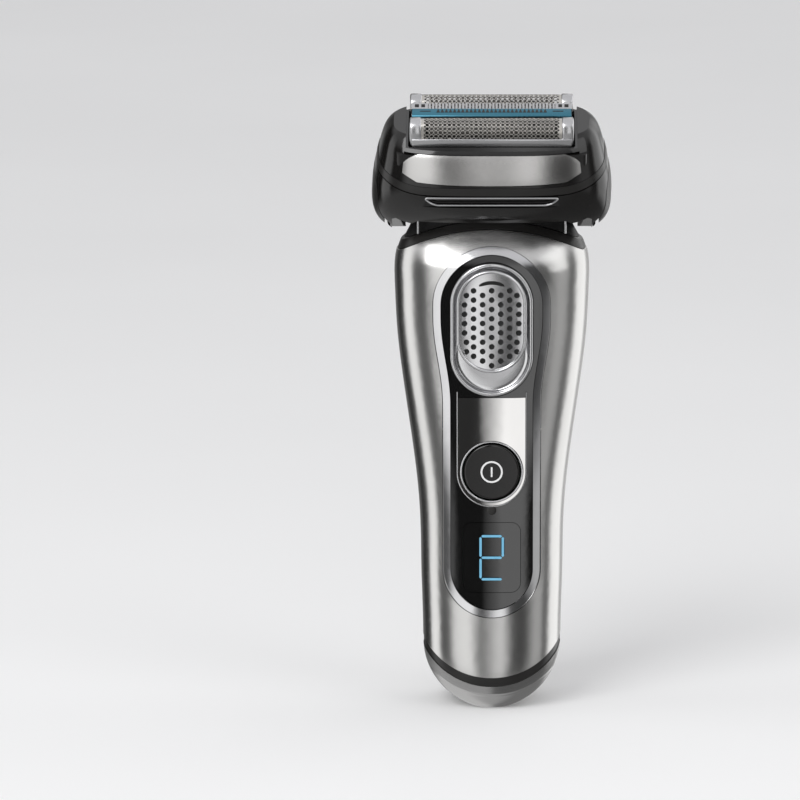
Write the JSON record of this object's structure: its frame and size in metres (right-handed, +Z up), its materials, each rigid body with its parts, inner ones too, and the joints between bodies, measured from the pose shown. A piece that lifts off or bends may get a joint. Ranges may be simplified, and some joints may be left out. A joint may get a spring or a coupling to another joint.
{
  "type": "electric shaver",
  "caption": "Foil shaver: satin chrome handle with a black inlay, sliding head lock, power button and display, and a swivelling head with two foils and middle trimmers.",
  "frame": {"origin": "middle of the whole shaver seen from above, at the height of its flat base", "axes": "+X to the right, -Y out of the front, +Z up the handle"},
  "size_m": [0.0633, 0.0419, 0.1641],
  "materials": {
    "satin_chrome": "satin chromed plastic",
    "soft_grip": "matt moulded rubber",
    "contact_gold": "plated contacts",
    "dark_satin": "dark satin",
    "black_gloss": "high gloss black",
    "black_matte": "matt black",
    "rim_satin": "satin metal trim",
    "head_silver": "silver lacquer",
    "symbol_white": "white inlay",
    "display_blue": "lit light blue",
    "board_green": "solder mask",
    "chip_black": "moulded epoxy",
    "plain_steel": "plain steel",
    "cell_wrap": "shrink wrap",
    "copper_coil": "enamelled copper",
    "magnet_steel": "nickel plated",
    "foil_steel": "etched foil steel",
    "guard_teal": "teal coated"
  },
  "bodies": {
    "handle": {"front_shell": "satin_chrome", "rear_shell": "satin_chrome", "rear_grip": "soft_grip", "station_contacts": "contact_gold", "neck_collar": "dark_satin", "bottom_band": "dark_satin", "bottom_cap": "satin_chrome", "charging_socket": "black_matte", "socket_pins": "contact_gold", "inlay_rim": "rim_satin", "front_bezel": "black_gloss", "lock_ring": "rim_satin", "lock_track": "black_matte", "centre_panel": "rim_satin", "power_ring": "rim_satin", "power_switch": "black_matte", "display_window": "black_gloss", "display_digit": "display_blue", "display_module": "black_matte", "control_board": "board_green", "board_chips": "chip_black", "inner_chassis": "black_matte", "board_screws": "plain_steel", "battery_cell": "cell_wrap", "battery_tabs": "contact_gold", "neck_block": "black_matte", "neck_gasket": "soft_grip", "pivot_pins": "plain_steel"},
    "lock": {"lock_knob": "rim_satin", "lock_slider": "black_matte"},
    "power": {"power_button": "black_gloss", "power_symbol": "symbol_white"},
    "head": {"head_base": "black_gloss", "base_trim": "rim_satin", "release_springs": "plain_steel", "motor_stator": "plain_steel", "motor_coil": "copper_coil", "motor_springs": "plain_steel"},
    "release_left": {"release_button_left": "dark_satin"},
    "release_right": {"release_button_right": "dark_satin"},
    "drive": {"motor_oscillator": "magnet_steel", "drive_pins": "plain_steel"},
    "cassette": {"cassette_frame": "black_gloss", "cassette_band": "dark_satin", "cassette_front_panel": "head_silver", "cassette_rear_panel": "head_silver", "float_springs": "plain_steel"},
    "front_float": {"front_foil": "foil_steel", "front_foil_frame": "plain_steel"},
    "rear_float": {"rear_foil": "foil_steel", "rear_foil_frame": "plain_steel"},
    "comb_float": {"trimmer_comb": "plain_steel"},
    "guard_float": {"skin_guard": "guard_teal"},
    "front_cutter": {"front_cutter_block": "foil_steel"},
    "rear_cutter": {"rear_cutter_block": "foil_steel"},
    "comb_cutter": {"comb_blade": "foil_steel"},
    "guard_cutter": {"guard_blade": "foil_steel"},
    "hair_trimmer": {"trimmer_slider": "black_matte", "hair_comb": "foil_steel"},
    "hair_cutter": {"hair_blade": "foil_steel"}
  },
  "joints": [
    {"name": "lock_slide", "type": "slide", "parent": "handle", "child": "lock", "axis": [0, 0, -1], "range_m": [0, 0.0048]},
    {"name": "power_press", "type": "slide", "parent": "handle", "child": "power", "axis": [0, 1, 0], "range_m": [0, 0.0007], "stiffness_N_per_m": 400},
    {"name": "head_swivel", "type": "hinge", "parent": "handle", "child": "head", "pos_m": [0, 0, 0.135], "axis": [1, 0, 0], "range_deg": [-20, 20], "stiffness_Nm_per_rad": 0.3},
    {"name": "release_left_press", "type": "slide", "parent": "head", "child": "release_left", "axis": [1, 0, 0], "range_m": [0, 0.0012], "stiffness_N_per_m": 300},
    {"name": "release_right_press", "type": "slide", "parent": "head", "child": "release_right", "axis": [-1, 0, 0], "range_m": [0, 0.0012], "stiffness_N_per_m": 300},
    {"name": "drive_stroke", "type": "slide", "parent": "head", "child": "drive", "axis": [1, 0, 0], "range_m": [-0.0012, 0.0012], "stiffness_N_per_m": 600},
    {"name": "cassette_lift", "type": "slide", "parent": "head", "child": "cassette", "axis": [0, -0.309, 0.9511], "range_m": [0, 0.014]},
    {"name": "front_foil_float", "type": "slide", "parent": "cassette", "child": "front_float", "axis": [0, 0.309, -0.9511], "range_m": [0, 0.002], "stiffness_N_per_m": 400},
    {"name": "rear_foil_float", "type": "slide", "parent": "cassette", "child": "rear_float", "axis": [0, 0.309, -0.9511], "range_m": [0, 0.002], "stiffness_N_per_m": 400},
    {"name": "comb_float", "type": "slide", "parent": "cassette", "child": "comb_float", "axis": [0, 0.309, -0.9511], "range_m": [0, 0.002], "stiffness_N_per_m": 400},
    {"name": "guard_float", "type": "slide", "parent": "cassette", "child": "guard_float", "axis": [0, 0.309, -0.9511], "range_m": [0, 0.002], "stiffness_N_per_m": 400},
    {"name": "front_cutter_stroke", "type": "slide", "parent": "front_float", "child": "front_cutter", "axis": [1, 0, 0], "range_m": [-0.0012, 0.0012]},
    {"name": "rear_cutter_stroke", "type": "slide", "parent": "rear_float", "child": "rear_cutter", "axis": [1, 0, 0], "range_m": [-0.0012, 0.0012]},
    {"name": "comb_blade_stroke", "type": "slide", "parent": "comb_float", "child": "comb_cutter", "axis": [1, 0, 0], "range_m": [-0.0012, 0.0012]},
    {"name": "guard_blade_stroke", "type": "slide", "parent": "guard_float", "child": "guard_cutter", "axis": [1, 0, 0], "range_m": [-0.0012, 0.0012]},
    {"name": "hair_trimmer_slide", "type": "slide", "parent": "handle", "child": "hair_trimmer", "axis": [0, 0, 1], "range_m": [0, 0.014]},
    {"name": "hair_blade_stroke", "type": "slide", "parent": "hair_trimmer", "child": "hair_cutter", "axis": [1, 0, 0], "range_m": [-0.0009, 0.0009], "stiffness_N_per_m": 200}
  ],
  "couplings": [
    {"joint": "front_cutter_stroke", "follows": "drive_stroke", "ratio": 1},
    {"joint": "rear_cutter_stroke", "follows": "drive_stroke", "ratio": 1},
    {"joint": "comb_blade_stroke", "follows": "drive_stroke", "ratio": 1},
    {"joint": "guard_blade_stroke", "follows": "drive_stroke", "ratio": 1}
  ]
}
